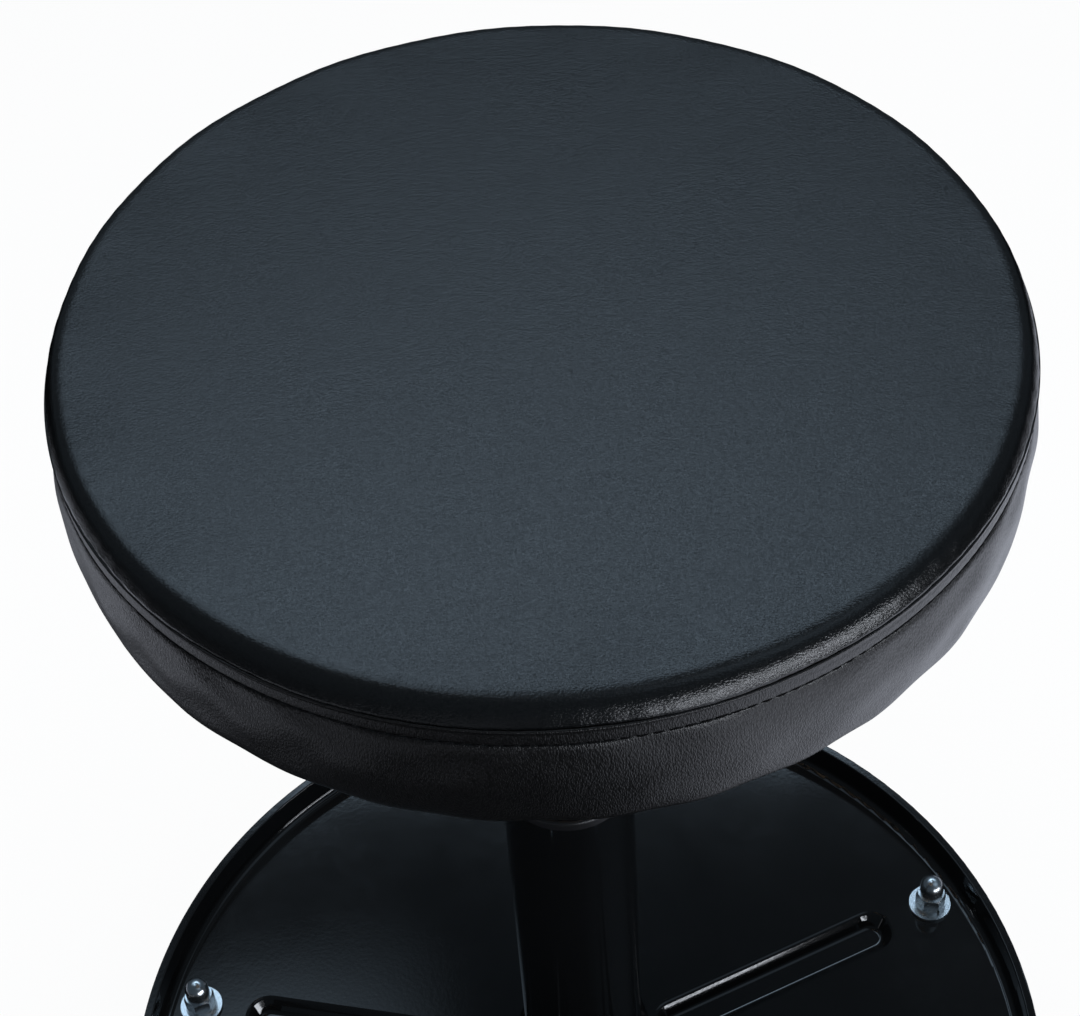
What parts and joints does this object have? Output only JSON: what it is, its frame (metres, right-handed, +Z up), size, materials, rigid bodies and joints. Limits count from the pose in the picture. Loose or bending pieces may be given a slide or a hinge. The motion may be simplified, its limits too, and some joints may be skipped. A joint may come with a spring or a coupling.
{
  "type": "workshop stool",
  "caption": "Round padded workshop stool: sewn vinyl seat on a swivelling gas-lift column, over a round rimmed tool tray with pressed grooves on swivel casters.",
  "frame": {"origin": "on the floor under the axis of the column", "axes": "+Z up along the column; one caster stem stands at +Y and the release lever points to +X"},
  "size_m": [0.48, 0.48, 0.6225],
  "materials": {
    "vinyl_top": "satin",
    "vinyl_band": "satin",
    "foam": "matte",
    "plywood": "matte",
    "gloss_black": "gloss",
    "satin_black": "satin",
    "zinc": "satin",
    "steel": "polished",
    "black_plastic": "satin",
    "grey_plastic": "satin",
    "rubber": "matte",
    "tread": "matte"
  },
  "bodies": {
    "base": {"tray_pan": "gloss_black", "column_tube": "gloss_black", "column_weld": "gloss_black", "column_foot": "gloss_black", "guide_bush": "black_plastic", "lower_race": "steel", "thrust_balls": "steel", "caster_stems": "zinc", "caster_washers": "zinc", "caster_lock_washers": "zinc", "caster_acorn_nuts": "zinc", "caster_swivel_balls": "steel"},
    "spindle": {"piston_rod": "steel", "piston": "black_plastic", "piston_seal": "rubber", "upper_race": "steel", "bottom_bumper": "rubber", "clip_washer": "zinc", "retaining_clip": "steel"},
    "seat": {"seat_top_panel": "vinyl_top", "seat_side_band": "vinyl_band", "seat_foam": "foam", "seat_board": "plywood", "seat_tee_nuts": "zinc", "seat_bolts": "zinc", "seat_plate": "satin_black", "taper_socket": "satin_black", "lever_pivot": "zinc", "gas_cylinder": "satin_black", "rod_gland": "black_plastic"},
    "lever": {"release_lever": "zinc", "lever_grip": "black_plastic"},
    "pin": {"release_pin": "steel"},
    "caster_1": {"caster_1_fork": "zinc", "caster_1_axle": "zinc"},
    "wheel_1": {"caster_1_hub": "grey_plastic", "caster_1_tread": "tread"},
    "caster_2": {"caster_2_fork": "zinc", "caster_2_axle": "zinc"},
    "wheel_2": {"caster_2_hub": "grey_plastic", "caster_2_tread": "tread"},
    "caster_3": {"caster_3_fork": "zinc", "caster_3_axle": "zinc"},
    "wheel_3": {"caster_3_hub": "grey_plastic", "caster_3_tread": "tread"},
    "caster_4": {"caster_4_fork": "zinc", "caster_4_axle": "zinc"},
    "wheel_4": {"caster_4_hub": "grey_plastic", "caster_4_tread": "tread"},
    "caster_5": {"caster_5_fork": "zinc", "caster_5_axle": "zinc"},
    "wheel_5": {"caster_5_hub": "grey_plastic", "caster_5_tread": "tread"}
  },
  "joints": [
    {"name": "seat_swivel", "type": "hinge", "parent": "base", "child": "spindle", "pos_m": [0, 0, 0.079], "axis": [0, 0, 1], "continuous": true},
    {"name": "seat_lift", "type": "slide", "parent": "spindle", "child": "seat", "axis": [0, 0, 1], "range_m": [-0.14, 0]},
    {"name": "lever_pull", "type": "hinge", "parent": "seat", "child": "lever", "pos_m": [0.018, 0, 0.539], "axis": [0, -1, 0], "range_deg": [0, 8], "stiffness_Nm_per_rad": 4, "springref_deg": -4.58},
    {"name": "pin_press", "type": "slide", "parent": "seat", "child": "pin", "axis": [0, 0, -1], "range_m": [0, 0.0026]},
    {"name": "caster_1_swivel", "type": "hinge", "parent": "base", "child": "caster_1", "pos_m": [0, 0.215, 0.06], "axis": [0, 0, 1], "continuous": true},
    {"name": "caster_1_roll", "type": "hinge", "parent": "caster_1", "child": "wheel_1", "pos_m": [0.02, 0.215, 0.025], "axis": [0, 1, 0], "continuous": true},
    {"name": "caster_2_swivel", "type": "hinge", "parent": "base", "child": "caster_2", "pos_m": [-0.20448, 0.06644, 0.06], "axis": [0, 0, 1], "continuous": true},
    {"name": "caster_2_roll", "type": "hinge", "parent": "caster_2", "child": "wheel_2", "pos_m": [-0.1983, 0.08546, 0.025], "axis": [-0.9511, 0.309, 0], "continuous": true},
    {"name": "caster_3_swivel", "type": "hinge", "parent": "base", "child": "caster_3", "pos_m": [-0.12637, -0.17394, 0.06], "axis": [0, 0, 1], "continuous": true},
    {"name": "caster_3_roll", "type": "hinge", "parent": "caster_3", "child": "wheel_3", "pos_m": [-0.14255, -0.16218, 0.025], "axis": [-0.5878, -0.809, 0], "continuous": true},
    {"name": "caster_4_swivel", "type": "hinge", "parent": "base", "child": "caster_4", "pos_m": [0.12637, -0.17394, 0.06], "axis": [0, 0, 1], "continuous": true},
    {"name": "caster_4_roll", "type": "hinge", "parent": "caster_4", "child": "wheel_4", "pos_m": [0.11019, -0.18569, 0.025], "axis": [0.5878, -0.809, 0], "continuous": true},
    {"name": "caster_5_swivel", "type": "hinge", "parent": "base", "child": "caster_5", "pos_m": [0.20448, 0.06644, 0.06], "axis": [0, 0, 1], "continuous": true},
    {"name": "caster_5_roll", "type": "hinge", "parent": "caster_5", "child": "wheel_5", "pos_m": [0.21066, 0.04742, 0.025], "axis": [0.9511, 0.309, 0], "continuous": true}
  ],
  "couplings": [
    {"joint": "pin_press", "follows": "lever_pull", "m_per_rad": 0.018}
  ]
}
